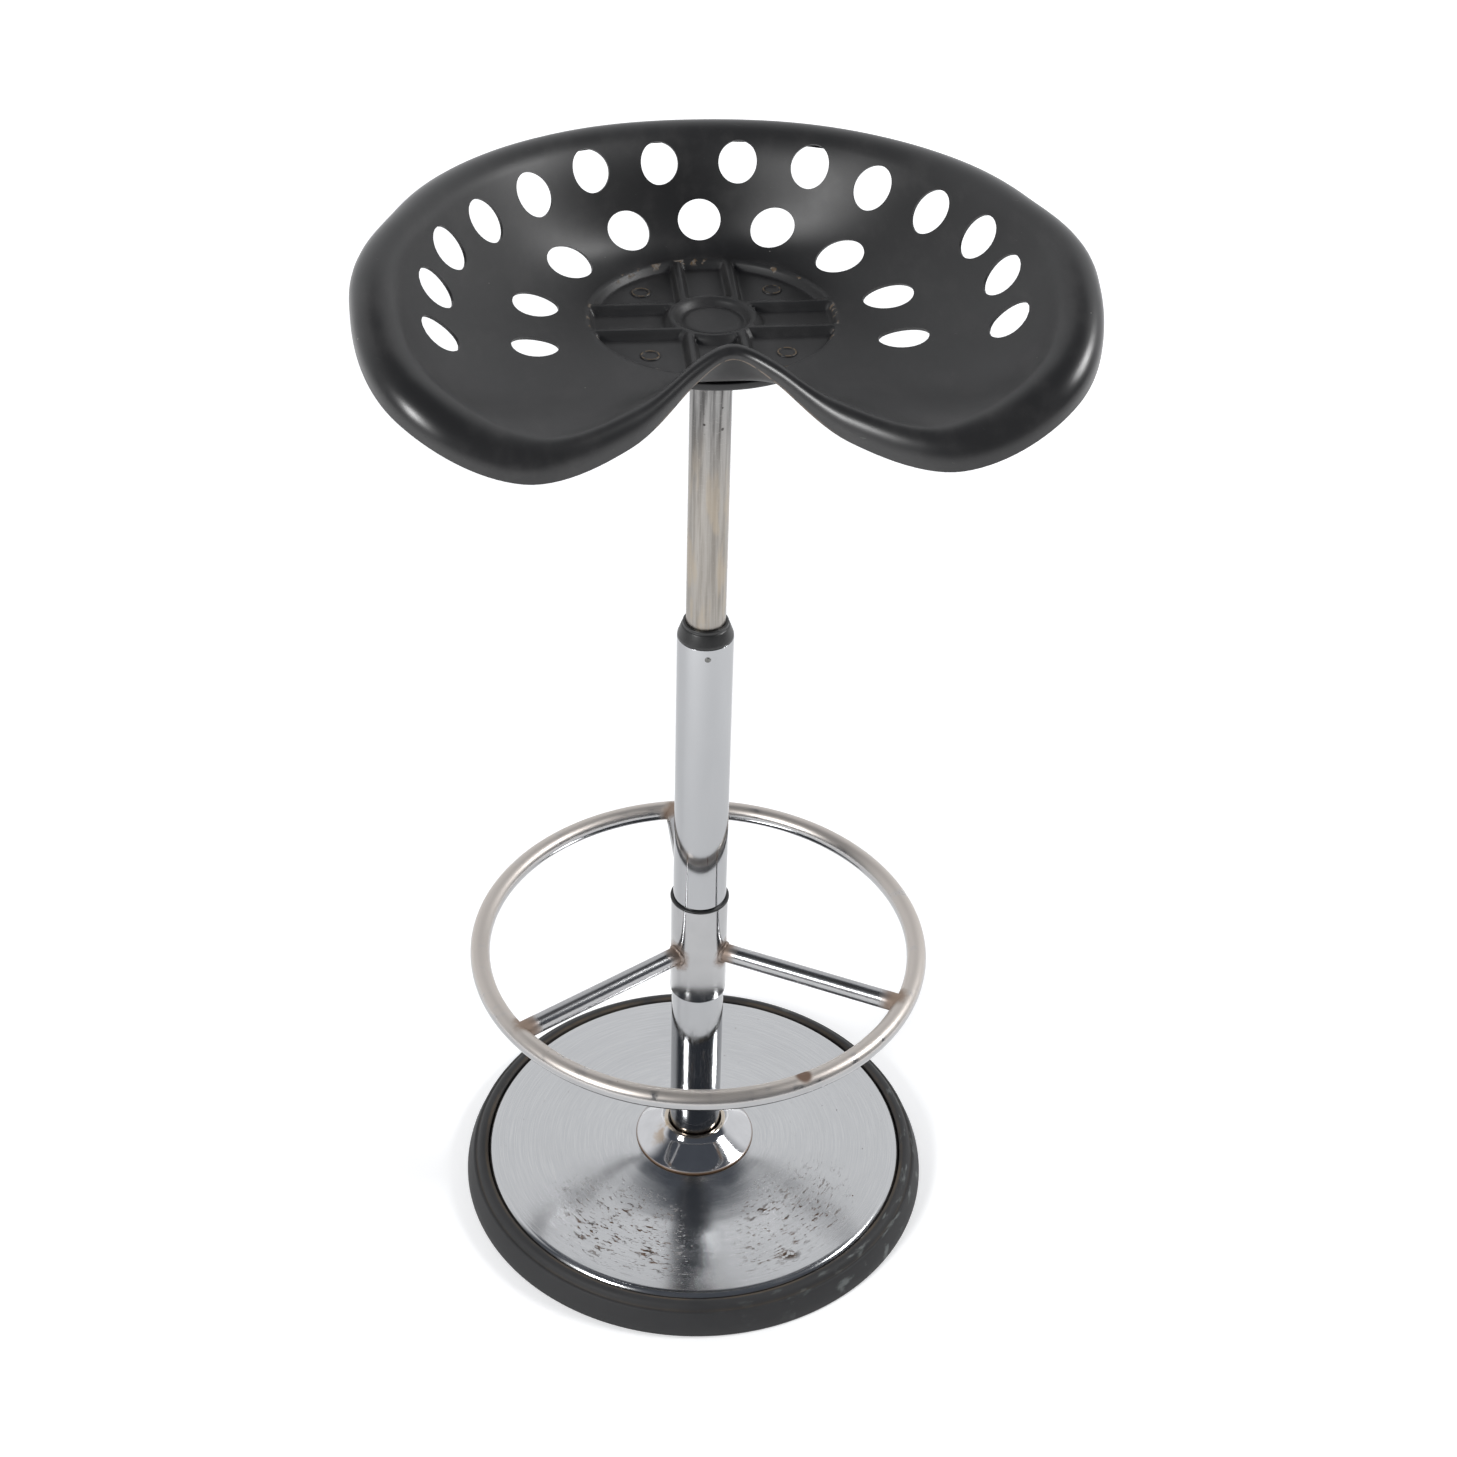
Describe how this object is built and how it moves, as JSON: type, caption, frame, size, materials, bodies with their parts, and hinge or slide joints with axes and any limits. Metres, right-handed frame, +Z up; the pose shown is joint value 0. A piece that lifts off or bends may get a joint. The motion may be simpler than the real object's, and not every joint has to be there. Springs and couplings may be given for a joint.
{
  "type": "adjustable swivel stool",
  "caption": "Tall swivel stool with a perforated pressed-metal tractor seat, screw-lift column, ring footrest and a weighted round dish base with a rubber edge.",
  "frame": {"origin": "On the floor, under the axis of the column.", "axes": "+Z is up along the column, -Y is the way the sitter faces, through the notch of the seat, and +X is to the right as seen from the front with the notch nearest."},
  "size_m": [0.4486, 0.3883, 0.852],
  "materials": {
    "seat_paint": "semi-gloss black paint, chipped at the edges",
    "lift_nickel": "dull worn nickel plate",
    "column_chrome": "bright chrome with fine pitting",
    "footrest_chrome": "worn chrome, rust at the welds",
    "base_chrome": "bright chrome with rust freckles",
    "collar_plastic": "satin black moulding",
    "black_trim": "black moulded ring",
    "rim_rubber": "scuffed black moulded rubber",
    "pad_rubber": "plain sheet rubber",
    "cast_weight": "rough casting",
    "bare_steel": "oiled machined steel",
    "fastener_steel": "zinc plated steel",
    "nut_brass": "turned brass",
    "guide_plastic": "natural nylon"
  },
  "bodies": {
    "base": {"floor_pad": "pad_rubber", "ballast_plate": "cast_weight", "rubber_rim": "rim_rubber", "base_dish": "base_chrome", "base_cap": "base_chrome", "base_bolts": "fastener_steel", "column_tube": "column_chrome", "column_flange": "bare_steel", "top_collar": "collar_plastic", "collar_pin": "fastener_steel", "footrest_sleeve": "footrest_chrome", "sleeve_ring": "black_trim", "sleeve_screw": "fastener_steel", "footrest_ring": "footrest_chrome", "footrest_spoke_1": "footrest_chrome", "footrest_spoke_2": "footrest_chrome", "footrest_spoke_3": "footrest_chrome", "spindle_plug": "bare_steel", "lift_spindle": "bare_steel", "stop_washer": "fastener_steel", "stop_screw": "fastener_steel"},
    "lift_guide": {"lift_guide_bush": "guide_plastic"},
    "seat": {"lift_tube": "lift_nickel", "spindle_nut": "nut_brass", "nut_pins": "fastener_steel", "guide_circlip": "fastener_steel", "head_plug": "bare_steel", "head_screw": "fastener_steel", "support_dish": "seat_paint", "seat_pan": "seat_paint", "seat_rivets": "seat_paint"}
  },
  "joints": [
    {"name": "seat_lift", "type": "slide", "parent": "base", "child": "lift_guide", "axis": [0, 0, 1], "range_m": [-0.2, 0.02]},
    {"name": "seat_swivel", "type": "hinge", "parent": "lift_guide", "child": "seat", "pos_m": [0, 0, 0], "axis": [0, 0, 1], "range_deg": [-7200, 720]}
  ],
  "couplings": [
    {"joint": "seat_lift", "follows": "seat_swivel", "m_per_rad": 0.0015915}
  ]
}
